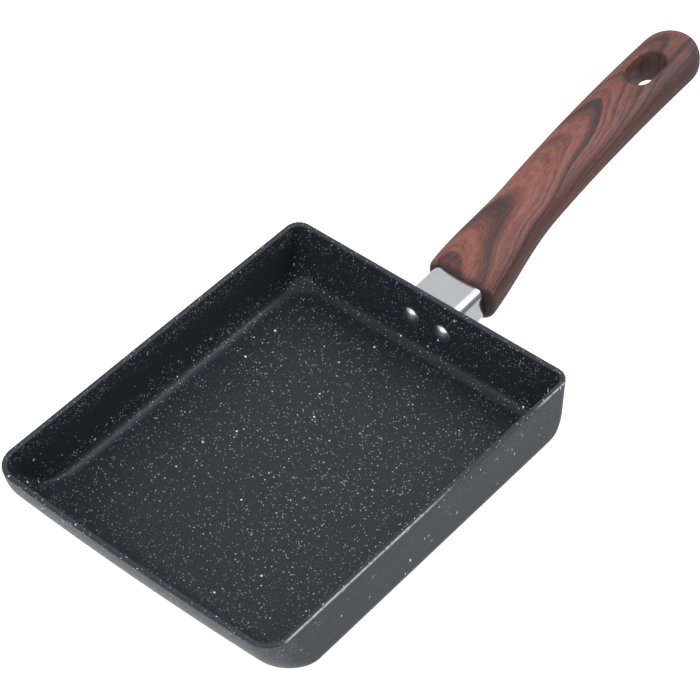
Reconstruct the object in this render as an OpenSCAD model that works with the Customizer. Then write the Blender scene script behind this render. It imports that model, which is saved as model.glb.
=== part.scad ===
// Rectangular rolled-omelette pan: coated body with a swept front wall,
// two rivets, a metal sleeve and a moulded handle with a hanging slot.
// Origin on the underside at the middle of the rim, +Z up, +Y towards the handle.

/* [Pan body] */
// Outer length of the rim, along the handle
rim_l = 185; // [150:1:260]
// Outer width of the rim
rim_w = 149; // [110:1:220]
// Outer height of the body
pan_h = 35; // [30:1:45]
// Thickness of walls and floor
wall_t = 2.5; // [2:0.1:3.5]
// Outer radius of the rim's two corners beside the handle, seen from above
back_corner_r = 7; // [5:0.5:12]
// Outer radius of the rim's two front corners, seen from above
front_corner_r = 11; // [9:0.5:18]
// Lean of the side and back walls, in degrees
wall_draft = 1.6; // [0:0.1:4]
// Outer radius where floor and side walls meet
floor_round_r = 7.4; // [5:0.1:9]
// Outer radius of the front wall's sweep
front_sweep_r = 38; // [25:0.5:50]
// Outer radius of the two back corners at floor level
back_floor_corner_r = 15; // [8:0.5:28]
// Height above the floor over which the back corners widen to that radius
back_corner_foot = 15; // [10:0.5:24]
// Outer radius of the two front corners at floor level
front_floor_corner_r = 5; // [4:0.5:22]
// Bow of the front edge, outwards at its middle
front_bow = 1.6; // [0:0.1:5]
// Radius of the rim's two edges
rim_edge_r = 0.8; // [0.3:0.1:0.9]

/* [Rivets] */
// Distance between the two rivets
rivet_pitch = 16.8; // [15:0.1:17.5]
// Height of the rivets above the underside
rivet_z = 19; // [17:0.5:22]
// Radius of a rivet's shank
rivet_shank_r = 2; // [1.5:0.1:2.4]
// Radius of a rivet's domed head
rivet_head_r = 4.6; // [4:0.1:5.5]
// Height of a rivet's domed head
rivet_head_h = 2.1; // [1.5:0.1:3]
// Radius of a rivet's closed end
rivet_tail_r = 2.9; // [2.7:0.1:3]
// Height of a rivet's closed end
rivet_tail_h = 1.6; // [1:0.1:2.5]

/* [Flame guard] */
// Width of the metal sleeve
guard_w = 26.6; // [26:0.1:29]
// Height of the metal sleeve
guard_h = 18.6; // [17:0.1:20]
// Radius of the sleeve's long edges
guard_corner_r = 4.2; // [3:0.1:6]
// Thickness of the sleeve
guard_t = 0.9; // [0.6:0.1:1]
// Length of the sleeve that shows between wall and handle
guard_visible = 20; // [16:0.5:35]
// Depth to which the sleeve sits in the handle
guard_seat = 3; // [2:0.5:5]
// Height of the sleeve's middle at the wall
guard_z = 19.8; // [19:0.1:22]
// Upward tilt of the sleeve, in degrees
guard_tilt = 4; // [0:0.5:6]

/* [Bracket] */
// Thickness of the bracket's plate
plate_t = 2; // [1.5:0.1:3]
// Width of the plate on the wall
plate_w = 22.6; // [21.5:0.1:22.8]
// Height of the plate on the wall
plate_h = 13.5; // [11:0.5:14.5]
// Width of the tongue
tongue_w = 10.4; // [9:0.1:10.6]
// Thickness of the tongue
tongue_t = 3; // [2:0.1:3.5]
// Length of the tongue inside the handle
tongue_l = 30; // [27:0.5:36]
// Upward tilt of the tongue inside the handle, in degrees
tongue_tilt = 22; // [18:0.5:25]

/* [Handle] */
// Length of the handle along Y
grip_l = 162; // [150:1:200]
// Rise of the handle from its pan end to its far end
grip_rise = 32.5; // [26:0.5:42]
// Rise of the first part of the handle's curve
grip_lift_near = 21.5; // [18:0.5:26]
// Rise of the second part of the handle's curve
grip_lift_far = 29.5; // [24:0.5:36]
// Half width of the handle at its pan end
grip_half_w_pan = 17.6; // [17:0.1:19]
// Half width of the handle at its waist
grip_half_w_waist = 13.6; // [13:0.1:15]
// Half width of the handle beside the hanging slot
grip_half_w_far = 13.9; // [13:0.1:17]
// Thickness of the handle as a share of its width
grip_flatness = 0.72; // [0.7:0.01:0.8]
// Length of the handle's round end
grip_cap_l = 14.5; // [12:0.5:20]
// Length of the hanging slot
slot_l = 23; // [18:0.5:30]
// Width of the hanging slot
slot_w = 12.4; // [9:0.1:14]
// Distance from the handle's far end to the middle of the slot
slot_from_end = 31; // [28:0.5:40]

/* [Screw] */
// Radius of the screw's shank
screw_r = 2.5; // [2:0.1:2.6]
// Distance from the sleeve to the screw, along the tongue
screw_at = 18; // [15:0.5:20]
// Radius of the screw's head
screw_head_r = 4.4; // [4:0.1:4.6]
// Height of the screw's head
screw_head_h = 2.7; // [2:0.1:3]
// Depth of the handle's counterbore
counterbore_depth = 4.2; // [4:0.1:5]
// Thickness of the washer
washer_t = 1; // [0.5:0.1:1.2]
// Width of the nut across its flats
nut_af = 8; // [7:0.1:8.2]
// Height of the nut
nut_h = 4; // [3:0.1:4.5]

/* [Clearances] */
// Gap round the parts that sit in a hole or a pocket
fit_gap = 0.15; // [0.1:0.05:0.3]
// Gap round the tongue and the nut in the handle
pocket_gap = 0.3; // [0.2:0.05:0.5]

/* [Hidden] */
$fn = 48;
corner_steps = 8;
edge_steps = 8;
sweep_steps = 16;
section_steps = 36;
grip_steps = 34;
section_power = 2.6;
cap_power = 2.3;
corner_least = 1.2;
bow_reach = 20;
flare_end = 0.32;
cut = 200;

// Height of the rings on the sweep at a share u of its angle, and the sweep's reach
function reach(h, r) = h < front_sweep_r
    ? sqrt(max(0, r * r - (front_sweep_r - h) * (front_sweep_r - h))) : r;
function sweep_top(r) = acos(max(0, min(1, (front_sweep_r - pan_h) / r)));
function sweep_z(u, r) = front_sweep_r - r * cos(u * sweep_top(r));

// Inset from the outer rim at height h, for the surface that lies t inside the outer one
function front_inset(h, t) = reach(pan_h, front_sweep_r) - reach(h, front_sweep_r - t);
function side_inset(h, t) =
    let (r = floor_round_r, low = r - (r - t) * sin(wall_draft),
         line = (pan_h - h) * tan(wall_draft) + t / cos(wall_draft),
         centre = (pan_h - r) * tan(wall_draft) + r / cos(wall_draft))
    h >= low ? line : centre - sqrt(max(0, (r - t) * (r - t) - (r - h) * (r - h)));

// One ring of points, counterclockwise from the start of the right front corner
function arc(cx, cy, r, from) = [for (i = [0:corner_steps])
    let (a = from + 90 * i / corner_steps) [cx + r * cos(a), cy + r * sin(a)]];
function ring(side, front, r_front, r_back, z) =
    let (hx = rim_w / 2 - side, yb = rim_l / 2 - side, yf = front - rim_l / 2,
         flat = concat(arc(hx - r_front, yf + r_front, r_front, -90),
                       arc(hx - r_back, yb - r_back, r_back, 0),
                       arc(r_back - hx, yb - r_back, r_back, 90),
                       arc(r_front - hx, yf + r_front, r_front, 180),
                       [for (i = [1:edge_steps - 1])
                           [(hx - r_front) * (2 * i / edge_steps - 1), yf]]))
    [for (p = flat) [p[0], p[1] - bow_at(p, yf), z]];
function bow_at(p, yf) =
    front_bow * max(0, 1 - pow(2 * p[0] / rim_w, 2)) * max(0, min(1, 1 - (p[1] - yf) / bow_reach));
// Share of a back corner's widening, at height h of the surface that lies t inside the outer one
function foot(h, t) = pow(max(0, 1 - (h - t) / back_corner_foot), 2);
function corner(rim, low, share, t) = max(corner_least, rim + (low - rim) * share - t);
function level(h, t, extra = 0) =
    let (side = side_inset(h, t), front = front_inset(h, t))
    ring(side + extra, front + extra,
         corner(front_corner_r, front_floor_corner_r, front / front_inset(t, t), t + extra),
         corner(back_corner_r, back_floor_corner_r, foot(h, t), t + extra), h);

// Triangles between stacked rings of n points, with a flat face at each end
function skin(rings) =
    let (n = len(rings[0]), m = len(rings))
    [[for (r = rings) each r],
     concat([[for (i = [0:n - 1]) n - 1 - i]],
            [for (j = [0:m - 2], i = [0:n - 1])
                [j * n + i, j * n + (i + 1) % n, (j + 1) * n + (i + 1) % n]],
            [for (j = [0:m - 2], i = [0:n - 1])
                [j * n + i, (j + 1) * n + (i + 1) % n, (j + 1) * n + i]],
            [[for (i = [0:n - 1]) (m - 1) * n + i]])];
module loft(rings) {
    s = skin(rings);
    polyhedron(s[0], [for (f = s[1]) [for (i = [len(f) - 1:-1:0]) f[i]]]);
}

// Places on the back wall and along the sleeve and tongue
function wall_y(z) = rim_l / 2 - (pan_h - z) * tan(wall_draft);
guard_end = [wall_y(guard_z) + guard_visible * cos(guard_tilt), guard_z + guard_visible * sin(guard_tilt)];
screw_y = guard_end[0] + screw_at * cos(tongue_tilt);
module at_wall(z) translate([0, wall_y(z), z]) rotate([-wall_draft, 0, 0]) children();
module along_guard() translate([0, wall_y(guard_z), guard_z]) rotate([guard_tilt, 0, 0]) children();
module along_tongue() translate([0, guard_end[0], guard_end[1]]) rotate([tongue_tilt, 0, 0]) children();
module wall_side() at_wall(guard_z) translate([-cut / 2, -cut, -cut / 2]) cube(cut);

// Centre line of the handle, a curve with two inner control points
grip_points = [[0, 0], [0.3 * grip_l, grip_lift_near], [0.64 * grip_l, grip_lift_far], [grip_l, grip_rise]];
function bezier(t, p) = pow(1 - t, 3) * p[0] + 3 * t * pow(1 - t, 2) * p[1]
    + 3 * t * t * (1 - t) * p[2] + pow(t, 3) * p[3];
function bezier_run(t, p) = pow(1 - t, 2) * (p[1] - p[0]) + 2 * t * (1 - t) * (p[2] - p[1])
    + t * t * (p[3] - p[2]);
function grip_centre(t) = guard_end + bezier(t, grip_points);
function grip_slope(t) =
    let (d = bezier_run(t, grip_points), along = atan2(d[1], d[0]), blend = min(1, t / 0.12))
    guard_tilt + (along - guard_tilt) * blend * (2 - blend);
function grip_at(y, low = 0, high = 1, n = 20) =
    let (mid = (low + high) / 2)
    n == 0 ? mid : grip_centre(mid)[0] < y ? grip_at(y, mid, high, n - 1) : grip_at(y, low, mid, n - 1);

// Half width along the handle: from pan end to waist, then to the far end, before its round end
function ease(u) = let (v = max(0, min(1, u))) v * v * (3 - 2 * v);
function grip_body_w(t) = t < flare_end
    ? grip_half_w_pan + (grip_half_w_waist - grip_half_w_pan) * ease(t / flare_end)
    : grip_half_w_waist + (grip_half_w_far - grip_half_w_waist) * ease((t - flare_end) / 0.5);
function cap_share(t) =
    let (left = min(1, (grip_l - bezier(t, grip_points)[0]) / grip_cap_l))
    pow(max(0, 1 - pow(1 - left, cap_power)), 1 / cap_power);
function grip_half_w(t) = max(0.6, grip_body_w(t) * cap_share(t));
function grip_half_h(t) = max(0.5, grip_body_w(t) * grip_flatness * (0.45 + 0.55 * cap_share(t)));
function soft(v) = sign(v) * pow(abs(v), 2 / section_power);
function section(t) =
    let (c = grip_centre(t), a = grip_slope(t), w = grip_half_w(t), h = grip_half_h(t))
    [for (i = [0:section_steps - 1])
        let (q = 360 * i / section_steps, x = w * soft(cos(q)), n = h * soft(sin(q)))
        [x, c[0] - n * sin(a), c[1] + n * cos(a)]];
cap_start = grip_at(guard_end[0] + grip_l - grip_cap_l);
cap_steps = 12;
grip_rings = concat([for (i = [0:grip_steps - 1]) cap_start * i / grip_steps],
                    [for (i = [0:cap_steps]) cap_start + (1 - cap_start) * sin(90 * i / cap_steps)]);

// Plain rectangle with round corners, as a flat shape about its middle
module round_rect(w, h, r) {
    square([w - 2 * r, h], center = true);
    square([w, h - 2 * r], center = true);
    for (x = [-1, 1], y = [-1, 1]) translate([x * (w / 2 - r), y * (h / 2 - r)]) circle(r);
}
// A flat shape run out along +Y, upright
module run_y(length) rotate([-90, 0, 0]) linear_extrude(length) children();

module pan_body() color([0.16, 0.16, 0.19]) {
    outer = [for (i = [0:sweep_steps - 1]) level(sweep_z(i / sweep_steps, front_sweep_r), 0)];
    inner = [for (i = [sweep_steps - 1:-1:0])
        level(sweep_z(i / sweep_steps, front_sweep_r - wall_t), wall_t)];
    edge = [for (a = [0, 45, 90]) let (h = pan_h - rim_edge_r * (1 - sin(a)))
        level(h, 0, rim_edge_r * (1 - cos(a)))];
    edge_in = [for (a = [90, 45, 0]) let (h = pan_h - rim_edge_r * (1 - sin(a)))
        level(h, wall_t, -rim_edge_r * (1 - cos(a)))];
    difference() {
        loft(concat(outer, edge, edge_in, inner));
        for (x = [-1, 1]) at_wall(rivet_z) translate([x * rivet_pitch / 2, 0, 0])
            rotate([-90, 0, 0]) cylinder(r = rivet_shank_r + fit_gap, h = 6 * wall_t, center = true);
    }
}

// Rivet with its domed head on the inner face of the wall, its tail on the bracket's plate
module rivet(side) color([0.55, 0.55, 0.57]) {
    dome_r = (rivet_head_r * rivet_head_r + rivet_head_h * rivet_head_h) / (2 * rivet_head_h);
    at_wall(rivet_z) translate([side * rivet_pitch / 2, -wall_t, 0]) {
        intersection() {
            translate([0, dome_r - rivet_head_h, 0]) sphere(dome_r);
            rotate([90, 0, 0]) cylinder(r = rivet_head_r, h = rivet_head_h);
        }
        rotate([-90, 0, 0]) cylinder(r = rivet_shank_r, h = wall_t + plate_t + rivet_tail_h);
        translate([0, wall_t + plate_t, 0]) rotate([-90, 0, 0]) cylinder(r = rivet_tail_r, h = rivet_tail_h);
    }
}
module rivet_left() rivet(-1);
module rivet_right() rivet(1);

module flame_guard() color([0.78, 0.78, 0.8]) difference() {
    along_guard() translate([0, -guard_h * sin(wall_draft + guard_tilt), 0])
        run_y(guard_visible + guard_seat + guard_h * sin(wall_draft + guard_tilt))
            difference() {
                round_rect(guard_w, guard_h, guard_corner_r);
                round_rect(guard_w - 2 * guard_t, guard_h - 2 * guard_t, guard_corner_r - guard_t);
            }
    wall_side();
}

// Side view of the tongue as points of Y and Z: from the plate to the bend, then into the handle
function off(p, a, along, up) = [p[0] + along * cos(a) - up * sin(a), p[1] + along * sin(a) + up * cos(a)];
bend = (tongue_tilt - guard_tilt) / 2;
tongue_side = [
    off(guard_end, guard_tilt, plate_t / 2 - guard_visible, -tongue_t / 2),
    off(guard_end, guard_tilt + bend, 0, -tongue_t / 2 / cos(bend)),
    off(guard_end, tongue_tilt, tongue_l, -tongue_t / 2),
    off(guard_end, tongue_tilt, tongue_l, tongue_t / 2),
    off(guard_end, guard_tilt + bend, 0, tongue_t / 2 / cos(bend)),
    off(guard_end, guard_tilt, plate_t / 2 - guard_visible, tongue_t / 2)];

module handle_bracket() color([0.6, 0.6, 0.62]) difference() {
    union() {
        at_wall(rivet_z) translate([-plate_w / 2, 0, -plate_h / 2]) cube([plate_w, plate_t, plate_h]);
        translate([-tongue_w / 2, 0, 0]) rotate([90, 0, 90]) linear_extrude(tongue_w) polygon(tongue_side);
    }
    for (x = [-1, 1]) at_wall(rivet_z) translate([x * rivet_pitch / 2, 0, 0])
        rotate([-90, 0, 0]) cylinder(r = rivet_shank_r + fit_gap, h = 3 * plate_t, center = true);
    along_tongue() translate([0, screw_at, 0])
        cylinder(r = screw_r + fit_gap, h = 3 * tongue_t, center = true);
}

// Distance from the tongue's middle down to the screw's seat in the handle
seat_drop = grip_half_h(grip_at(screw_y)) - counterbore_depth;

module handle_grip() color([0.5, 0.27, 0.23]) difference() {
    loft([for (t = grip_rings) section(t)]);
    along_guard() translate([0, guard_visible - guard_seat, 0]) run_y(2 * guard_seat)
        round_rect(guard_w + 2 * fit_gap, guard_h + 2 * fit_gap, guard_corner_r + fit_gap);
    along_tongue() translate([-tongue_w / 2 - pocket_gap, 0, -tongue_t / 2 - pocket_gap])
        cube([tongue_w + 2 * pocket_gap, tongue_l + pocket_gap, tongue_t + 2 * pocket_gap]);
    along_tongue() translate([-nut_af / 2 - pocket_gap, 0, 0])
        cube([nut_af + 2 * pocket_gap, screw_at + nut_af, tongue_t / 2 + nut_h + 2 * pocket_gap]);
    along_tongue() translate([0, screw_at, -seat_drop]) {
        cylinder(r = screw_r + pocket_gap, h = seat_drop);
        translate([0, 0, -3 * counterbore_depth])
            cylinder(r = screw_head_r + 2 * pocket_gap, h = 3 * counterbore_depth);
    }
    hanging_slot();
}

module hanging_slot() {
    t = grip_at(guard_end[0] + grip_l - slot_from_end);
    c = grip_centre(t);
    translate([0, c[0], c[1]]) rotate([grip_slope(t), 0, 0])
        linear_extrude(6 * grip_half_h(t), center = true) {
            square([slot_w, slot_l - slot_w], center = true);
            for (y = [-1, 1]) translate([0, y * (slot_l - slot_w) / 2]) circle(slot_w / 2);
        }
}

module bracket_nut() color([0.62, 0.62, 0.6])
    along_tongue() translate([0, screw_at, tongue_t / 2]) difference() {
        rotate(30) cylinder(r = nut_af / sqrt(3), h = nut_h, $fn = 6);
        translate([0, 0, -nut_h]) cylinder(r = screw_r + fit_gap, h = 3 * nut_h);
    }

module handle_screw() color([0.7, 0.7, 0.72])
    along_tongue() translate([0, screw_at, -seat_drop - washer_t]) difference() {
        union() {
            cylinder(r = screw_r, h = seat_drop + washer_t + tongue_t / 2 + nut_h);
            translate([0, 0, -screw_head_h]) cylinder(r = screw_head_r, h = screw_head_h);
        }
        for (a = [0, 90]) translate([0, 0, -screw_head_h]) rotate(a)
            cube([screw_head_r, screw_head_r / 5, screw_head_h], center = true);
    }

module screw_washer() color([0.75, 0.75, 0.77])
    along_tongue() translate([0, screw_at, -seat_drop - washer_t]) difference() {
        cylinder(r = screw_head_r + pocket_gap, h = washer_t);
        translate([0, 0, -washer_t]) cylinder(r = screw_r + fit_gap, h = 3 * washer_t);
    }

pan_body();
rivet_left();
rivet_right();
flame_guard();
handle_grip();
handle_bracket();
bracket_nut();
handle_screw();
screw_washer();
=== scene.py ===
import math
import bmesh
import bpy
import numpy as np
from mathutils import Matrix, Vector


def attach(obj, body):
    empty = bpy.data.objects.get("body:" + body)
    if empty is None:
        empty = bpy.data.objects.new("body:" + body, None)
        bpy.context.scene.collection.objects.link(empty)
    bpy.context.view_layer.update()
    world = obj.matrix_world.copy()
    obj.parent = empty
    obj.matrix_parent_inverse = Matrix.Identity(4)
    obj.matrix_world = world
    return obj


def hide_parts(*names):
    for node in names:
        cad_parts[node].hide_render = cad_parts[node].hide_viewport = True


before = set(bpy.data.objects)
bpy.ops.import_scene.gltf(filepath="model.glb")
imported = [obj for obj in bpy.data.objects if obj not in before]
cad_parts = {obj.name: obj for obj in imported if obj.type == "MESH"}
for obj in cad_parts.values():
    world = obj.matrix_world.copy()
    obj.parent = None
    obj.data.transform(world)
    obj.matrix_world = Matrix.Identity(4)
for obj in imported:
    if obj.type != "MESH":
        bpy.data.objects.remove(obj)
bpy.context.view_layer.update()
mm = 0.001  # lengths below are in millimetres, as in the part


def rad(degrees):
    return math.radians(degrees)


def clipped(v):
    return max(0, min(1, v))


def added(name, data):
    made = bpy.data.objects.new(name, data)
    bpy.context.scene.collection.objects.link(made)
    return made


def meshObject(name, points, faces, smoothBelow=40):
    mesh = bpy.data.meshes.new(name)
    mesh.from_pydata([[c * mm for c in p] for p in points], [], faces)
    made = added(name, mesh)
    tidyNormals(made, smoothBelow)
    return made


def tidyNormals(made, smoothBelow):
    bm = bmesh.new()
    bm.from_mesh(made.data)
    bmesh.ops.recalc_face_normals(bm, faces=bm.faces)
    for face in bm.faces:
        face.smooth = True
    for edge in bm.edges:
        edge.smooth = len(edge.link_faces) == 2 and edge.calc_face_angle(0) < rad(smoothBelow)
    bm.to_mesh(made.data)
    bm.free()


# quads between rings of equally many points, with a flat face at each end or closed into a loop
def loft(name, rings, smoothBelow=40, closed=False):
    n = len(rings[0])
    points = [p for ring in rings for p in ring]
    faces = [] if closed else [list(range(n))[::-1], [(len(rings) - 1) * n + i for i in range(n)]]
    for j in range(len(rings) if closed else len(rings) - 1):
        above = (j + 1) % len(rings) * n
        for i in range(n):
            k = (i + 1) % n
            faces.append([j * n + i, j * n + k, above + k, above + i])
    return meshObject(name, points, faces, smoothBelow)


# a profile of (radius, distance) turned about local Y and set in place by a matrix
def lathe(name, profile, place, steps=64):
    turns = [2 * math.pi * i / steps for i in range(steps)]
    rings = []
    for radius, along in profile:
        rings.append([place @ Vector((radius * math.cos(a), along, radius * math.sin(a))) for a in turns])
    return loft(name, rings)


# an outline through round corners (middle x, middle y, radius, start angle), with points along the sides
def outline(corners, cornerSteps, sideSteps):
    def around(corner, share):
        x, y, r, start = corner
        a = rad(start + 90 * share)
        return x + r * math.cos(a), y + r * math.sin(a)
    ring = []
    for corner, following in zip(corners, corners[1:] + corners[:1]):
        ring += [around(corner, i / cornerSteps) for i in range(cornerSteps + 1)]
        (x0, y0), (x1, y1) = ring[-1], around(following, 0)
        for i in range(1, sideSteps):
            ring.append((x0 + (x1 - x0) * i / sideSteps, y0 + (y1 - y0) * i / sideSteps))
    return ring


def cutAway(made, cutters, smoothBelow):
    for cutter in cutters:
        modifier = made.modifiers.new("cut", "BOOLEAN")
        modifier.operation = "DIFFERENCE"
        modifier.solver = "EXACT"
        modifier.object = cutter
    cut = bpy.data.meshes.new_from_object(made.evaluated_get(bpy.context.evaluated_depsgraph_get()))
    made.modifiers.clear()
    made.data = cut
    for cutter in cutters:
        bpy.data.objects.remove(cutter)
    tidyNormals(made, smoothBelow)


def dress(made, materials, replaced):
    made.data.materials.clear()
    for material in materials:
        made.data.materials.append(material)
    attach(made, "root")
    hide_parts(replaced)


class Wire:  # an output socket that can be used like a number
    def __init__(self, board, socket):
        self.board, self.socket = board, socket

    def calc(self, operation, *values):
        return self.board.node("ShaderNodeMath", dict(operation=operation), dict(enumerate(values)))

    def other(self, name):
        return Wire(self.board, self.socket.node.outputs[name])

    def __add__(self, value):
        return self.calc("ADD", self, value)

    def __sub__(self, value):
        return self.calc("SUBTRACT", self, value)

    def __rsub__(self, value):
        return self.calc("SUBTRACT", value, self)

    def __mul__(self, value):
        return self.calc("MULTIPLY", self, value)

    def __truediv__(self, value):
        return self.calc("DIVIDE", self, value)

    def __rtruediv__(self, value):
        return self.calc("DIVIDE", value, self)

    def __pow__(self, value):
        return self.calc("POWER", self, value)

    __radd__, __rmul__ = __add__, __mul__

    def atLeast(self, value):
        return self.calc("MAXIMUM", self, value)

    def atMost(self, value):
        return self.calc("MINIMUM", self, value)

    def size(self):
        return self.calc("ABSOLUTE", self)

    def step(self, low, high):  # 0 at low, 1 at high, also where low is the larger one
        return self.board.node("ShaderNodeMapRange", dict(interpolation_type="SMOOTHSTEP"),
                               {"Value": self, "From Min": low, "From Max": high})


class Board:  # the node tree of a material or of the world
    def __init__(self, owner):
        owner.use_nodes = True
        self.owner, self.tree = owner, owner.node_tree
        self.tree.nodes.clear()

    def node(self, kind, settings=None, sockets=None, out=0):
        made = self.tree.nodes.new(kind)
        for key, value in (settings or {}).items():
            if key == "stops":
                ramp = made.color_ramp
                while len(ramp.elements) < len(value):
                    ramp.elements.new(0.5)
                for element, (at, colour) in zip(ramp.elements, value):
                    element.position, element.color = at, (*colour, 1)
            else:
                setattr(made, key, value)
        for key, value in (sockets or {}).items():
            if isinstance(value, Wire):
                self.tree.links.new(value.socket, made.inputs[key])
            elif isinstance(value, tuple) and made.inputs[key].type == "RGBA":
                made.inputs[key].default_value = (*value, 1)
            else:
                made.inputs[key].default_value = value
        return Wire(self, made.outputs[out])

    def place(self):  # where the surface is, in millimetres
        inMetres = self.node("ShaderNodeTexCoord", out="Object")
        return self.node("ShaderNodeVectorMath", dict(operation="SCALE"), {0: inMetres, "Scale": 1 / mm})

    def parts(self, vector):
        x = self.node("ShaderNodeSeparateXYZ", sockets={0: vector})
        return x, x.other("Y"), x.other("Z")

    def join(self, x, y, z):
        return self.node("ShaderNodeCombineXYZ", sockets={0: x, 1: y, 2: z})

    def times(self, vector, scale):
        return self.node("ShaderNodeVectorMath", dict(operation="MULTIPLY"), {0: vector, 1: scale})

    def mix(self, share, a, b):
        return self.node("ShaderNodeMix", dict(data_type="RGBA", clamp_factor=True),
                         {0: share, 6: a, 7: b}, out=2)

    def noise(self, vector, scale, detail=2.0, roughness=0.5):
        return self.node("ShaderNodeTexNoise", sockets={"Vector": vector, "Scale": scale, "Detail": detail,
                                                        "Roughness": roughness})

    def bump(self, height, strength, distance):
        return self.node("ShaderNodeBump", sockets={"Height": height, "Strength": strength,
                                                    "Distance": distance})

    def show(self, surface, kind="ShaderNodeOutputMaterial"):
        self.tree.links.new(surface.socket, self.tree.nodes.new(kind).inputs["Surface"])
        return self.owner

    def finish(self, sockets):
        return self.show(self.node("ShaderNodeBsdfPrincipled", sockets=sockets))


def newBoard(name):
    return Board(bpy.data.materials.new(name))


# round specks where the middles of a pattern's cells come close to the surface
def specks(board, where, cell, share, small, large):
    cells = board.node("ShaderNodeTexVoronoi", dict(feature="F1"),
                       {"Vector": where, "Scale": 1 / cell, "Randomness": 1.0}, out="Distance")
    chance = board.node("ShaderNodeSeparateColor", sockets={0: cells.other("Color")})
    radius = chance.other("Green") * ((large - small) / cell) + small / cell
    dot = cells.step(radius, radius * coating["speckCore"])
    return dot * chance.calc("LESS_THAN", chance, share)


coating = dict(
    inside=(0.0122, 0.0128, 0.0215), outside=(0.0150, 0.0152, 0.0330),
    # front, on the next line, is a lighter ground for the outer front wall: painted light
    # the last colour on the next line is a painted highlight for the right rim's outer edge
    rim=(0.024, 0.025, 0.033), front=(0.072, 0.073, 0.086), paintedGlint=(0.36, 0.37, 0.42),
    speck=(0.86, 0.89, 0.97), mottle=(0.6, 0.6, 0.8), mottleShare=0.02,
    roughness=0.38, roughnessSpread=0.14, specular=0.20, bumpStrength=0.16, bumpDepth=0.00012,
    fine=dict(cell=0.72, share=0.27, small=0.10, large=0.25),
    medium=dict(cell=1.7, share=0.24, small=0.16, large=0.34),
    big=dict(cell=6.5, share=0.30, small=0.32, large=0.72),
    streak=dict(cell=2.5, share=0.24, small=0.20, large=0.38),
    speckCore=0.5, streakSlim=0.28, bendSize=0.12, bendDepth=7.0,
    rimZ=(33.8, 34.4), wallZ=(4.0, 12.0), frontY=(-76.0, -88.0),
    # the next line places that painted highlight on the right rim's outer edge
    glintX=(73.75, 73.95), glintZ=(34.3, 34.5), glintNearY=(25.0, -20.0), glintFarY=(66.0, 76.0),
)


def coatingFinish(name, inside):
    c = coating
    board = newBoard(name)
    where = board.place()
    x, y, z = board.parts(where)
    fine = specks(board, where, **c["fine"])
    medium = specks(board, where, **c["medium"])
    bend = board.noise(where, c["bendSize"], 1).other("Color")
    bent = board.node("ShaderNodeVectorMath", dict(operation="MULTIPLY_ADD"),
                      {0: bend, 1: (c["bendDepth"],) * 3, 2: where})
    upright = specks(board, board.times(bent, (1.0, 1.0, c["streakSlim"])), **c["streak"])
    cloud = board.noise(where, 0.09, 3).step(0.35, 0.65)
    if inside:
        big = specks(board, where, **c["big"])
        dots = (fine * (cloud * 0.4 + 0.6)).atLeast(medium).atLeast(big)
        marks = dots.atLeast(upright * z.step(*c["wallZ"]) * 0.9)
        # painted highlight: a light line along the right rim's outer edge stands in for the glint of the
        # lamps there
        alongRim = y.step(*c["glintNearY"]).atLeast(y.step(*c["glintFarY"]) * 0.8)
        patchy = board.noise(where, 0.35, 2).step(0.30, 0.55)
        paintedGlint = x.step(*c["glintX"]) * z.step(*c["glintZ"]) * alongRim * (patchy * 0.6 + 0.4)
        ground = board.mix(paintedGlint, board.mix(z.step(*c["rimZ"]), c["inside"], c["rim"]), c["paintedGlint"])
    else:
        lengthwise = specks(board, board.times(bent, (1.0, c["streakSlim"], 1.0)), **c["streak"])
        ahead = y.step(*c["frontY"])  # more and finer specks on the front wall
        dots = (fine * (ahead * 0.7 + cloud * 0.3)).atLeast(medium * (cloud * 0.3 + ahead * 0.7))
        marks = dots.atLeast(upright).atLeast(lengthwise * 0.5)
        # painted light: besides its real extra specks, the front wall gets a lighter ground for the brighter
        # light falling on it
        ground = board.mix(ahead * 0.8, c["outside"], c["front"])
    mottle = board.noise(where, 1.4, 3, 0.6).step(0.3, 0.75) * c["mottleShare"]
    grain = board.noise(where, 0.9, 4, 0.6)
    return board.finish({
        "Base Color": board.mix(marks.atMost(1.0), board.mix(mottle, ground, c["mottle"]), c["speck"]),
        "Roughness": (grain - 0.5) * c["roughnessSpread"] + c["roughness"],
        "Specular IOR Level": c["specular"],
        "Normal": board.bump(grain * 0.8 + marks * 0.3, c["bumpStrength"], c["bumpDepth"])})


metal = dict(
    sleeve=dict(colour=(0.50, 0.50, 0.54), roughness=0.15, brush=(6.0, 0.12, 0.12), depth=0.03),
    rivet=dict(colour=(0.46, 0.46, 0.48), roughness=0.30, brush=(1.5, 1.5, 1.5), depth=0.05),
    steel=dict(colour=(0.55, 0.55, 0.56), roughness=0.32, brush=(0.2, 2.5, 2.5), depth=0.10),
    zinc=dict(colour=(0.62, 0.62, 0.64), roughness=0.25, brush=(1.2, 1.2, 1.2), depth=0.06),
    spread=0.08, darker=0.8, darkerShare=0.25, bumpDepth=0.0001,
)


def metalFinish(name):
    c = metal[name]
    board = newBoard(name + "Metal")
    lines = board.noise(board.times(board.place(), c["brush"]), 1.0, 3, 0.6)
    smudge = board.noise(board.place(), 0.12, 2)
    darker = tuple(v * metal["darker"] for v in c["colour"])
    return board.finish({
        "Base Color": board.mix(lines * metal["darkerShare"], c["colour"], darker),
        "Metallic": 1.0,
        "Roughness": (lines + smudge - 1.0) * metal["spread"] + c["roughness"],
        "Normal": board.bump(lines, c["depth"], metal["bumpDepth"])})


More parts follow.
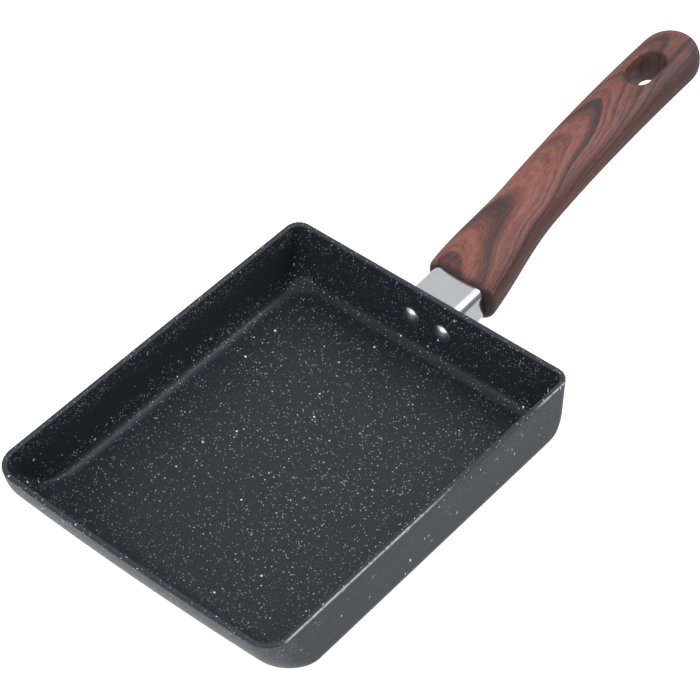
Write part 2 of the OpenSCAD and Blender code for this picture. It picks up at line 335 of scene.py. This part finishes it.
# the pan's body has the same surface as the part's, with finer steps
pan = dict(
    rimL=185, rimW=149, high=35, wall=2.5, backCornerR=7, frontCornerR=11, draft=1.6, floorRoundR=7.4,
    frontSweepR=38, backFloorCornerR=15, backCornerFoot=15, frontFloorCornerR=5, frontBow=1.6,
    rimEdgeR=0.8, leastCornerR=1.2, bowReach=20, cornerSteps=14, sideSteps=20, sweepSteps=56, edgeSteps=6,
    floorShares=(0.995, 0.98, 0.94, 0.8, 0.55, 0.3, 0.1), smoothBelow=60)


def reach(h, r):
    sweep = pan["frontSweepR"]
    return math.sqrt(max(0, r * r - (sweep - h) ** 2)) if h < sweep else r


def sweepZ(u, r):
    top = math.acos(clipped((pan["frontSweepR"] - pan["high"]) / r))
    return pan["frontSweepR"] - r * math.cos(u * top)


def frontInset(h, t):
    return reach(pan["high"], pan["frontSweepR"]) - reach(h, pan["frontSweepR"] - t)


def sideInset(h, t):
    r, lean, high = pan["floorRoundR"], rad(pan["draft"]), pan["high"]
    if h >= r - (r - t) * math.sin(lean):
        return (high - h) * math.tan(lean) + t / math.cos(lean)
    centre = (high - r) * math.tan(lean) + r / math.cos(lean)
    return centre - math.sqrt(max(0, (r - t) ** 2 - (r - h) ** 2))


def panRing(side, front, rFront, rBack, z):
    x, yBack, yFront = pan["rimW"] / 2 - side, pan["rimL"] / 2 - side, front - pan["rimL"] / 2
    corners = [(x - rFront, yFront + rFront, rFront, -90), (x - rBack, yBack - rBack, rBack, 0),
               (rBack - x, yBack - rBack, rBack, 90), (rFront - x, yFront + rFront, rFront, 180)]
    ring = []
    for px, py in outline(corners, pan["cornerSteps"], pan["sideSteps"]):
        bow = pan["frontBow"] * max(0, 1 - (2 * px / pan["rimW"]) ** 2)
        ring.append((px, py - bow * clipped(1 - (py - yFront) / pan["bowReach"]), z))
    return ring


def level(h, t, extra=0):
    side, front = sideInset(h, t), frontInset(h, t)
    foot = max(0, 1 - (h - t) / pan["backCornerFoot"])  # share of the back corners' widening

    def corner(rim, low, share):
        return max(pan["leastCornerR"], rim + (low - rim) * share - t - extra)
    return panRing(side + extra, front + extra,
                   corner(pan["frontCornerR"], pan["frontFloorCornerR"], front / frontInset(t, t)),
                   corner(pan["backCornerR"], pan["backFloorCornerR"], foot ** 2), h)


def shrunk(ring, share):
    middle = sum(p[1] for p in ring) / len(ring)
    return [(p[0] * share, middle + (p[1] - middle) * share, p[2]) for p in ring]


def makePan():
    sweep, wall, steps, edge = pan["frontSweepR"], pan["wall"], pan["sweepSteps"], pan["rimEdgeR"]
    outer = [level(sweepZ(i / steps, sweep), 0) for i in range(steps)]
    inner = [level(sweepZ(i / steps, sweep - wall), wall) for i in range(steps - 1, -1, -1)]

    def rimRing(turn, t, outwards):
        a = rad(turn)
        return level(pan["high"] - edge * (1 - math.sin(a)), t, outwards * edge * (1 - math.cos(a)))
    turns = [90 * i / pan["edgeSteps"] for i in range(pan["edgeSteps"] + 1)]
    edges = [rimRing(a, 0, 1) for a in turns] + [rimRing(a, wall, -1) for a in turns[::-1]]
    below = [shrunk(outer[0], s) for s in pan["floorShares"][::-1]]
    above = [shrunk(inner[-1], s) for s in pan["floorShares"]]
    body = loft("panBody", below + outer + edges + inner + above, pan["smoothBelow"])
    dress(body,
          [coatingFinish("speckledCoating", True), coatingFinish("speckledOutside", False)], "pan_body")
    outsideEnd = (len(below) + len(outer)) * len(outer[0])
    for face in body.data.polygons:
        face.material_index = 1 if min(face.vertices) < outsideEnd else 0


makePan()
print("pan body and its coating are made")


def wallY(z):
    return pan["rimL"] / 2 - (pan["high"] - z) * math.tan(rad(pan["draft"]))


def atWall(z):
    return Matrix.Translation((0, wallY(z), z)) @ Matrix.Rotation(rad(-pan["draft"]), 4, "X")


rivet = dict(
    pitch=16.8, z=19, shankR=2, headR=4.6, headH=2.1, tailR=2.9, tailH=1.6, plate=2,
    lip=0.35, lipInset=0.08, lipFoot=0.05, lipRound=0.1, tailRound=0.3, tipR=0.05, domeSteps=20)


def makeRivet(name, side, node, material):
    c = rivet
    domeR = (c["headR"] ** 2 + c["headH"] ** 2) / (2 * c["headH"])
    lipR = c["headR"] - c["lipInset"]
    widest = math.asin(min(1, lipR / domeR))
    tail = pan["wall"] + c["plate"]
    tailEnd = tail + c["tailH"]
    dome = []
    for i in range(1, c["domeSteps"] + 1):
        a = widest * i / c["domeSteps"]
        dome.append((domeR * math.sin(a), domeR * (1 - math.cos(a)) - c["headH"]))
    profile = [(c["tipR"], -c["headH"])] + [p for p in dome if p[1] < -c["lip"]]
    profile += [(lipR, -c["lip"]), (lipR, -c["lipFoot"]), (lipR - c["lipRound"], 0)]
    profile += [(c["shankR"], 0), (c["shankR"], tail), (c["tailR"], tail)]
    profile += [(c["tailR"], tailEnd - c["tailRound"]), (c["tailR"] - c["tailRound"], tailEnd)]
    profile.append((c["tipR"], tailEnd))
    place = atWall(c["z"]) @ Matrix.Translation((side * c["pitch"] / 2, -pan["wall"], 0))
    dress(lathe(name, profile, place), [material], node)


rivetMetal = metalFinish("rivet")
makeRivet("rivetLeft", -1, "rivet_left", rivetMetal)
makeRivet("rivetRight", 1, "rivet_right", rivetMetal)
print("rivets are made")

sleeve = dict(
    w=26.6, h=18.6, cornerR=4.2, t=0.9, visible=20, seat=3, z=19.8, tilt=4, cornerSteps=14, sideSteps=6,
    outerRings=(3, 8, 13, 18), innerRings=(12, 3), smoothBelow=50)
sleeveTurn = Matrix.Rotation(rad(sleeve["tilt"]), 4, "X")
alongSleeve = Matrix.Translation((0, wallY(sleeve["z"]), sleeve["z"])) @ sleeveTurn


def roundRect(w, h, r):
    x, y = w / 2 - r, h / 2 - r
    corners = [(x, -y, r, -90), (x, y, r, 0), (-x, y, r, 90), (-x, -y, r, 180)]
    return outline(corners, sleeve["cornerSteps"], sleeve["sideSteps"])


def makeSleeve():
    c = sleeve
    outer = roundRect(c["w"], c["h"], c["cornerR"])
    inner = roundRect(c["w"] - 2 * c["t"], c["h"] - 2 * c["t"], c["cornerR"] - c["t"])
    lean = math.tan(rad(pan["draft"] + c["tilt"]))
    end = c["visible"] + c["seat"]

    def square(ring, y):
        return [alongSleeve @ Vector((x, y, n)) for x, n in ring]

    def onWall(ring):
        return [alongSleeve @ Vector((x, n * lean, n)) for x, n in ring]
    rings = [onWall(outer)] + [square(outer, y) for y in (*c["outerRings"], end)]
    rings += [square(inner, y) for y in (end, *c["innerRings"])] + [onWall(inner)]
    made = loft("sleeve", rings, c["smoothBelow"], closed=True)
    dress(made, [metalFinish("sleeve")], "flame_guard")


makeSleeve()
print("sleeve is made")

grip = dict(
    l=162, rise=32.5, liftNear=21.5, liftFar=29.5, nearShare=0.3, farShare=0.64, straightEnd=0.12,
    halfWPan=17.6, halfWWaist=13.6, halfWFar=13.9, flareEnd=0.32, flareSpan=0.5, flatness=0.72, power=2.6,
    capL=14.5, capPower=2.3, capLow=0.45, leastHalfW=0.6, leastHalfH=0.5,
    slotL=23, slotW=12.4, slotFromEnd=31, slotEdgeR=1.8, slotStep=5, panEdgeR=2.6, panEdgeSteps=9,
    around=128, aroundFine=7200, halvings=30, endShares=(0.3, 0.6, 0.85),
    firstRun=2.5, coarseStep=1.1, fineStep=0.5, fineBefore=17, fineAfter=16, capRings=26, smoothBelow=38)
inner = dict(
    fit=0.15, gap=0.3, tongueW=10.4, tongueT=3, tongueL=30, tongueTilt=22, nutAf=8, nutH=4,
    screwAt=18, screwR=2.5, headR=4.4, counterbore=4.2, holeSteps=64, throughSlot=40)
gripStart = alongSleeve @ Vector((0, sleeve["visible"], 0))
gripPoints = [(0, 0), (grip["nearShare"] * grip["l"], grip["liftNear"]),
              (grip["farShare"] * grip["l"], grip["liftFar"]), (grip["l"], grip["rise"])]


def bezier(t):
    u = 1 - t
    weights = (u ** 3, 3 * t * u * u, 3 * t * t * u, t ** 3)
    return [sum(w * p[k] for w, p in zip(weights, gripPoints)) for k in (0, 1)]


def gripSlope(t):
    u = 1 - t
    steps = [(b[0] - a[0], b[1] - a[1]) for a, b in zip(gripPoints, gripPoints[1:])]
    run = [u * u * steps[0][k] + 2 * t * u * steps[1][k] + t * t * steps[2][k] for k in (0, 1)]
    blend = min(1, t / grip["straightEnd"])
    along = math.degrees(math.atan2(run[1], run[0]))
    return rad(sleeve["tilt"] + (along - sleeve["tilt"]) * blend * (2 - blend))


def gripAt(run):  # the curve's share at a distance along Y from the handle's pan end
    low, high = 0, 1
    for _ in range(grip["halvings"]):
        middle = (low + high) / 2
        low, high = (middle, high) if bezier(middle)[0] < run else (low, middle)
    return low


def ease(u):
    v = clipped(u)
    return v * v * (3 - 2 * v)


def gripHalf(t):
    c = grip
    if t < c["flareEnd"]:
        w = c["halfWPan"] + (c["halfWWaist"] - c["halfWPan"]) * ease(t / c["flareEnd"])
    else:
        w = c["halfWWaist"] + (c["halfWFar"] - c["halfWWaist"]) * ease((t - c["flareEnd"]) / c["flareSpan"])
    left = min(1, (c["l"] - bezier(t)[0]) / c["capL"])
    cap = max(0, 1 - (1 - left) ** c["capPower"]) ** (1 / c["capPower"])
    tall = w * c["flatness"] * (c["capLow"] + (1 - c["capLow"]) * cap)
    return max(c["leastHalfW"], w * cap), max(c["leastHalfH"], tall)


def softly(v):
    return math.copysign(abs(v) ** (2 / grip["power"]), v)


def evenTurns(count):  # angles that give evenly spaced points round the handle's section
    fine = [2 * math.pi * i / grip["aroundFine"] for i in range(grip["aroundFine"] + 1)]
    shape = np.array([(softly(math.cos(q)), grip["flatness"] * softly(math.sin(q))) for q in fine])
    run = np.concatenate([[0], np.cumsum(np.hypot(*np.diff(shape, axis=0).T))])
    return np.interp(np.arange(count) / count * run[-1], run, fine)


def gripPlace(t):
    run, rise = bezier(t)
    return Matrix.Translation(gripStart + Vector((0, run, rise))) @ Matrix.Rotation(gripSlope(t), 4, "X")


slotPlace = gripPlace(gripAt(grip["l"] - grip["slotFromEnd"]))
slotStraight = (grip["slotL"] - grip["slotW"]) / 2


def sunk(point):  # rounds the slot's edge: lowers the surface where it comes near the slot
    local = slotPlace.inverted() @ point
    away = math.hypot(local.x, max(0, abs(local.y) - slotStraight)) - grip["slotW"] / 2
    r = grip["slotEdgeR"]
    if away >= r:
        return point
    drop = r - math.sqrt(max(0, r * r - (r - max(0, away)) ** 2))
    local.z -= math.copysign(drop, local.z)
    return slotPlace @ local


def gripRing(turns, t, less):
    w, h = gripHalf(t)
    place = gripPlace(t)
    ring = []
    for q in turns:
        across, upward = (w - less) * softly(math.cos(q)), (h - less) * softly(math.sin(q))
        ring.append(sunk(place @ Vector((across, 0, upward))))
    return ring


def gripRings():
    c = grip
    turns = evenTurns(c["around"])
    endSpeed = 3 * math.hypot(*gripPoints[1])  # the curve's speed at its start
    flat = gripRing(turns, 0, c["panEdgeR"])
    rings = [[gripStart + (p - gripStart) * share for p in flat] for share in c["endShares"]]
    for i in range(c["panEdgeSteps"] + 1):
        a = rad(90 * i / c["panEdgeSteps"])
        share = c["panEdgeR"] * (1 - math.cos(a)) / endSpeed
        rings.append(gripRing(turns, share, c["panEdgeR"] * (1 - math.sin(a))))
    slotRun = c["l"] - c["slotFromEnd"]
    fineFrom = slotRun - c["fineBefore"]
    runs = list(np.arange(c["firstRun"], fineFrom, c["coarseStep"]))
    runs += list(np.arange(fineFrom, slotRun + c["fineAfter"], c["fineStep"]))
    capFrom = runs[-1] + c["fineStep"]
    capShares = [math.sin(rad(90 * i / c["capRings"])) for i in range(c["capRings"] + 1)]
    runs += [capFrom + (c["l"] - capFrom) * share for share in capShares]
    return rings + [gripRing(turns, gripAt(run) if run < c["l"] else 1, 0) for run in runs]


def square(x0, x1, y0, y1):
    return [(x0, y0), (x1, y0), (x1, y1), (x0, y1)]


def circle(r):
    turns = [2 * math.pi * i / inner["holeSteps"] for i in range(inner["holeSteps"])]
    return [(r * math.cos(a), r * math.sin(a)) for a in turns]


def gripCutters():
    c, g = inner, inner["gap"]

    def lengthways(name, flat, ends, place):
        return loft(name, [[place @ Vector((x, y, n)) for x, n in flat] for y in ends])

    def upright(name, flat, ends, place):
        return loft(name, [[place @ Vector((x, y, z)) for x, y in flat] for z in ends])
    r = grip["slotW"] / 2
    stadium = []
    for a in range(0, 361, grip["slotStep"]):
        side = slotStraight if a < 180 else -slotStraight
        stadium.append((r * math.cos(rad(a)), side + r * math.sin(rad(a))))
    seat = roundRect(sleeve["w"] + 2 * c["fit"], sleeve["h"] + 2 * c["fit"], sleeve["cornerR"] + c["fit"])
    tongue = Matrix.Translation(gripStart) @ Matrix.Rotation(rad(c["tongueTilt"]), 4, "X")
    halfT = c["tongueT"] / 2
    way = square(-c["tongueW"] / 2 - g, c["tongueW"] / 2 + g, -halfT - g, halfT + g)
    nutWay = square(-c["nutAf"] / 2 - g, c["nutAf"] / 2 + g, 0, halfT + c["nutH"] + 2 * g)
    screwRun = c["screwAt"] * math.cos(rad(c["tongueTilt"]))
    seatDrop = gripHalf(gripAt(screwRun))[1] - c["counterbore"]
    screwPlace = tongue @ Matrix.Translation((0, c["screwAt"], -seatDrop))
    return [
        upright("slotCut", stadium, (-c["throughSlot"], c["throughSlot"]), slotPlace),
        lengthways("seatCut", seat, (sleeve["visible"] - sleeve["seat"], sleeve["visible"] + sleeve["seat"]),
                   alongSleeve),
        lengthways("tongueCut", way, (0, c["tongueL"] + g), tongue),
        lengthways("nutCut", nutWay, (0, c["screwAt"] + c["nutAf"]), tongue),
        upright("screwCut", circle(c["screwR"] + g), (-1, seatDrop), screwPlace),
        upright("headCut", circle(c["headR"] + 2 * g), (-3 * c["counterbore"], 0), screwPlace)]


# each band of darker rings starts, is darkest and ends at these distances, and has this depth
wood = dict(
    light=(0.245, 0.092, 0.072), middle=(0.118, 0.044, 0.037), dark=(0.036, 0.022, 0.023),
    end=(0.044, 0.026, 0.024), middleAt=0.42, darkAt=0.9, spread=0.27, apexX=-3.5, aroundR=13.0, leastR=9.0,
    bands=((198, 213, 217, 1.0), (184, 190, 193, 0.4), (126, 149, 154, 0.8), (106, 118, 122, 0.7),
           (226, 234, 238, 0.5), (252, 262, 268, 0.6), (282, 292, 300, 0.6), (318, 326, 332, 0.6)),
    flankFrom=6.0, flankTo=19.0, farFrom=185.0, farTo=262.0, curveSamples=40,
    wander=dict(stretch=(1.0, 0.45, 1.0), scale=0.040, detail=1, roughness=0.4),
    ripple=dict(stretch=(1.0, 0.30, 1.0), scale=0.20, detail=3, roughness=0.55),
    wanderSideways=8.0, wanderLengthwise=12.0, rippleLengthwise=4.5, rippleFibres=8.0,
    lineSize=(0.42, 0.05, 0.012), hairSize=(1.5, 0.4, 0.10), broadSize=(0.075, 0.02),
    fibreSize=(4.0, 0.20, 0.4),
    bandShare=0.80, bandLessOnFlank=0.35, broadShare=0.26, broadRange=(0.45, 0.70), flankShare=0.36,
    farShare=0.26, lineShare=0.95, lineMiddle=0.48, hairShare=0.85, fibreShare=1.9, base=0.11,
    panEndRagged=1.5, panEndCornerX=12.0, panEndRange=(0.5, -0.1), slotShare=0.35, slotRange=(0.9, 0.15),
    roughness=0.54, fibreRoughness=0.12, darkRoughness=0.06, specular=0.34, bumpStrength=0.10,
    bumpDepth=0.0002)


def woodFinish():
    c = wood
    board = newBoard("woodLook")
    where = board.place()
    x, y, z = board.parts(where)
    line = [bezier(i / c["curveSamples"]) for i in range(c["curveSamples"] + 1)]
    k3, k2, k1, k0 = [float(v) for v in np.polyfit([p[0] for p in line], [p[1] for p in line], 3)]
    run = y - gripStart.y
    up = (z - gripStart.z - (((run * k3 + k2) * run + k1) * run + k0)) / grip["flatness"]
    tilt = x / ((x * x + up * up) ** 0.5).atLeast(c["leastR"])
    across = tilt.calc("ARCSINE", tilt) * c["aroundR"]  # distance round the handle from its top line

    def unevenness(stretch, scale, detail, roughness):
        return board.noise(board.times(where, stretch), scale, detail, roughness) - 0.5
    wander, ripple = unevenness(**c["wander"]), unevenness(**c["ripple"])
    sideways = across - c["apexX"] + wander * c["wanderSideways"]
    rings = y + sideways * sideways * c["spread"] + wander * c["wanderLengthwise"]
    rings = rings + ripple * c["rippleLengthwise"]
    size = c["lineSize"]
    lines = board.noise(board.join(rings * size[0], across * size[1], y * size[2]), 1.0, 6, 0.72)
    size = c["hairSize"]
    hair = board.noise(board.join(rings * size[0], across * size[1], y * size[2]), 1.0, 3, 0.6)
    size = c["broadSize"]
    broad = board.noise(board.join(rings * size[0], across * size[1], 7.0), 1.0, 2, 0.5)
    size = c["fibreSize"]
    strand = across * size[0] + ripple * c["rippleFibres"]
    fibres = board.noise(board.join(strand, y * size[1], z * size[2]), 1.0, 5, 0.75)
    shade = None
    for start, peak, end, depth in c["bands"]:
        band = rings.step(start, peak) * rings.step(end, peak) * depth
        shade = band if shade is None else shade.atLeast(band)
    flank = sideways.size().step(c["flankFrom"], c["flankTo"])
    darkness = shade * (1 - flank * c["bandLessOnFlank"]) * c["bandShare"]
    darkness = darkness + broad.step(*c["broadRange"]) * c["broadShare"]
    darkness = darkness + flank * c["flankShare"] + y.step(c["farFrom"], c["farTo"]) * c["farShare"]
    darkness = darkness + (lines - c["lineMiddle"]) * c["lineShare"] + (hair - 0.5) * c["hairShare"]
    darkness = darkness + (fibres - 0.5) * c["fibreShare"] + c["base"]
    stops = [(0.0, c["light"]), (c["middleAt"], c["middle"]), (c["darkAt"], c["dark"])]
    tone = board.node("ShaderNodeValToRGB", dict(stops=stops), {0: darkness.atLeast(0.0).atMost(1.0)})
    # the film ends at the handle's pan end and thins out on the slot's walls
    start = run + (z - gripStart.z) * math.tan(rad(sleeve["tilt"]))
    pastCorner = (x - c["panEndCornerX"]).atLeast(0.0) * 0.5
    panEnd = (start + ripple * c["panEndRagged"] - pastCorner).step(*c["panEndRange"])
    bare = panEnd.atLeast(slotShade(x, y, z) * c["slotShare"])
    return board.finish({
        "Base Color": board.mix(bare, tone, c["end"]),
        "Roughness": (fibres - 0.5) * c["fibreRoughness"] + darkness * c["darkRoughness"] + c["roughness"],
        "Specular IOR Level": c["specular"],
        "Normal": board.bump(lines * 0.5 + fibres * 0.5, c["bumpStrength"], c["bumpDepth"])})


def slotShade(x, y, z):  # 1 on the slot's walls
    rows = slotPlace.inverted()
    localX, localY = [x * row[0] + y * row[1] + z * row[2] + row[3] for row in (rows[0], rows[1])]
    past = (localY.size() - slotStraight).atLeast(0.0)
    away = (localX * localX + past * past) ** 0.5 - grip["slotW"] / 2
    return away.step(*wood["slotRange"])


gripBody = loft("gripBody", gripRings())
cutAway(gripBody, gripCutters(), grip["smoothBelow"])
dress(gripBody, [woodFinish()], "handle_grip")
print("handle is made")

zinc = metalFinish("zinc")
for node, material in (("handle_bracket", metalFinish("steel")), ("bracket_nut", zinc),
                       ("handle_screw", zinc), ("screw_washer", zinc)):
    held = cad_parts[node]
    held.data.materials.clear()
    held.data.materials.append(material)
print("bracket, nut, screw and washer are finished")

studio = dict(floorHalf=4.0, floorZ=-0.05, world=0.52, white=1.0, floorGlow=0.86, floorColour=0.5, bounce=0.8)
purest = (1.0, 1.0, 1.0)


def whiteForLens(board):  # 1 for what the camera, a reflection or clear glass sees
    path = board.node("ShaderNodeLightPath", out="Is Camera Ray")
    return path.atLeast(path.other("Is Glossy Ray")).atLeast(path.other("Is Transmission Ray"))


def glowing(board, colour, strength):
    return board.node("ShaderNodeEmission", sockets={"Color": colour, "Strength": strength})


def makeFloor():
    h, z = studio["floorHalf"] / mm, studio["floorZ"]
    floor = meshObject("floor", [(-h, -h, z), (h, -h, z), (h, h, z), (-h, h, z)], [[0, 1, 2, 3]])
    board = newBoard("paleFloor")
    plain = board.node("ShaderNodeBsdfDiffuse", sockets={"Color": (studio["bounce"],) * 3})
    paper = board.node("ShaderNodeBsdfDiffuse", sockets={"Color": (studio["floorColour"],) * 3})
    glow, white = [glowing(board, purest, studio[key]) for key in ("floorGlow", "white")]
    shown = board.node("ShaderNodeAddShader", sockets={0: paper, 1: glow})
    lens = board.node("ShaderNodeLightPath", out="Is Camera Ray")
    seen = board.node("ShaderNodeMixShader", sockets={0: lens, 1: white, 2: shown})
    surface = board.node("ShaderNodeMixShader", sockets={0: whiteForLens(board), 1: plain, 2: seen})
    floor.data.materials.append(board.show(surface))


def makeWorld():
    world = bpy.data.worlds.new("paleStudio")
    bpy.context.scene.world = world
    board = Board(world)
    strength = whiteForLens(board) * (studio["white"] - studio["world"]) + studio["world"]
    sky = board.node("ShaderNodeBackground", sockets={"Color": purest, "Strength": strength})
    board.show(sky, "ShaderNodeOutputWorld")


def turned(right, up, back, at):
    return Matrix.Translation(at) @ Matrix((right, up, back)).transposed().to_4x4()


lamps = dict(
    overhead=dict(at=(-0.05, 0.30, 1.30), along=(1, 0, 0), size=(0.8, 0.8), watts=4.4),
    side=dict(at=(0.44, 0.60, 0.74), along=(0, 1, 0), size=(0.60, 0.45), watts=1.9),
    kicker=dict(at=(0.40, 0.44, 0.73), along=(0, 1, 0), size=(0.70, 0.09), watts=2.4),
    front=dict(at=(0.05, -1.30, 0.75), along=(1, 0, 0), size=(1.2, 0.8), watts=12.5),
)
lampAim = Vector((0, 0.05, 0.02))


def makeLamps():
    for name, c in lamps.items():
        data = bpy.data.lights.new(name, "AREA")
        data.shape, data.energy = "RECTANGLE", c["watts"]
        data.size, data.size_y = c["size"]
        lamp = added(name, data)
        back = (Vector(c["at"]) - lampAim).normalized()
        up = back.cross(Vector(c["along"])).normalized()
        lamp.matrix_world = turned(up.cross(back), up, back, c["at"])
        lamp.visible_camera = False


flag = dict(x=75, fromY=128, toY=340, high=62, tone=0.33)


def makeFlag():  # a grey card that only reflections see, for the darker line along the sleeve's edge
    c = flag
    corners = [(c["x"], y, z) for y, z in square(c["fromY"], c["toY"], 0, c["high"])]
    card = meshObject("flag", corners, [[0, 1, 2, 3]])
    board = newBoard("greyCard")
    card.data.materials.append(board.show(glowing(board, (c["tone"],) * 3, 1.0)))
    card.visible_camera = card.visible_diffuse = card.visible_shadow = False


camera = dict(at=(0.49804, -0.52451, 0.82492), azimuth=41.40, elevation=46.08, roll=1.47, lens=137.18,
              sensor=36, clipEnd=20)


def makeCamera():
    c = camera
    az, el, roll = rad(c["azimuth"]), rad(c["elevation"]), rad(c["roll"])
    back = Vector((math.sin(az) * math.cos(el), -math.cos(az) * math.cos(el), math.sin(el)))
    right = Vector((math.cos(az), math.sin(az), 0))
    down = (-back).cross(right)
    turnedRight = right * math.cos(roll) + down * math.sin(roll)
    turnedDown = down * math.cos(roll) - right * math.sin(roll)
    data = bpy.data.cameras.new("camera")
    data.lens, data.sensor_width, data.clip_end = c["lens"], c["sensor"], c["clipEnd"]
    made = added("camera", data)
    made.matrix_world = turned(turnedRight, -turnedDown, back, c["at"])
    bpy.context.scene.camera = made


makeFloor()
makeWorld()
makeLamps()
makeFlag()
makeCamera()
bpy.context.scene.view_settings.view_transform = "Standard"
print("floor, light and camera are set")
